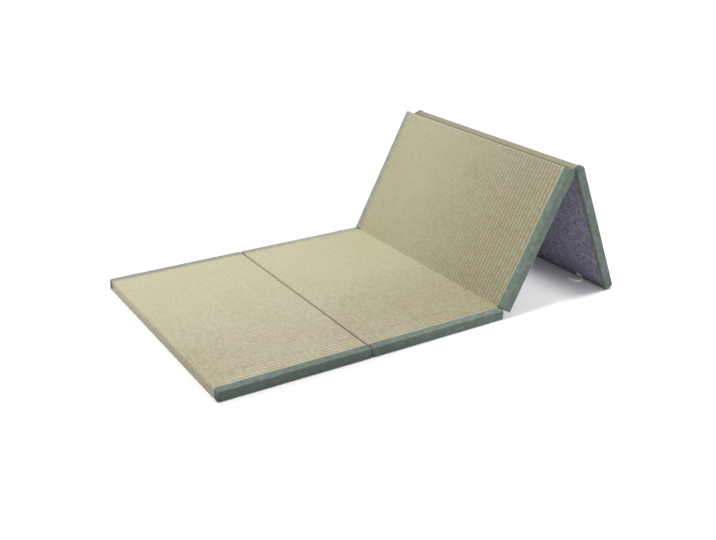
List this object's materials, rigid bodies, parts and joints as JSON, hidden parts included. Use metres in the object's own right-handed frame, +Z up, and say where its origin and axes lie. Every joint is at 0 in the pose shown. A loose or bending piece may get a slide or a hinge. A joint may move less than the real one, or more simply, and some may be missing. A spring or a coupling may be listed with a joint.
{
  "type": "folding tatami mat",
  "caption": "Folding floor mat of padded panels faced with woven rush, bound in green-grey cloth and backed with felt, laid flat at one end and stood up as a tent at the other.",
  "frame": {"origin": "on the floor, under the middle of the mat as it is set out", "axes": "+X along the row of panels from the flat end to the end that stands as a tent, +Y across the mat, +Z up"},
  "size_m": [1.4952, 0.92, 0.4739],
  "materials": {
    "rush": "woven rush in beaded ribs, pale yellow-green to straw, low sheen",
    "binding_cloth": "close plain-woven cloth, green-grey, matt",
    "felt": "needled felt, mottled purple-grey, matt",
    "ribbon": "thin pale ribbon, bare, soft sheen"
  },
  "bodies": {
    "root": {"pad_1": "felt", "pad_2": "felt", "pad_3": "felt", "pad_4": "felt", "rush_facing_1": "rush", "rush_facing_23": "rush", "rush_facing_4": "rush", "binding_front_1": "binding_cloth", "binding_front_2": "binding_cloth", "binding_front_3": "binding_cloth", "binding_front_4": "binding_cloth", "binding_back_1": "binding_cloth", "binding_back_2": "binding_cloth", "binding_back_3": "binding_cloth", "binding_back_4": "binding_cloth", "hinge_strip_12": "felt", "hinge_strip_34": "felt", "ribbon_tab": "ribbon"}
  },
  "joints": []
}
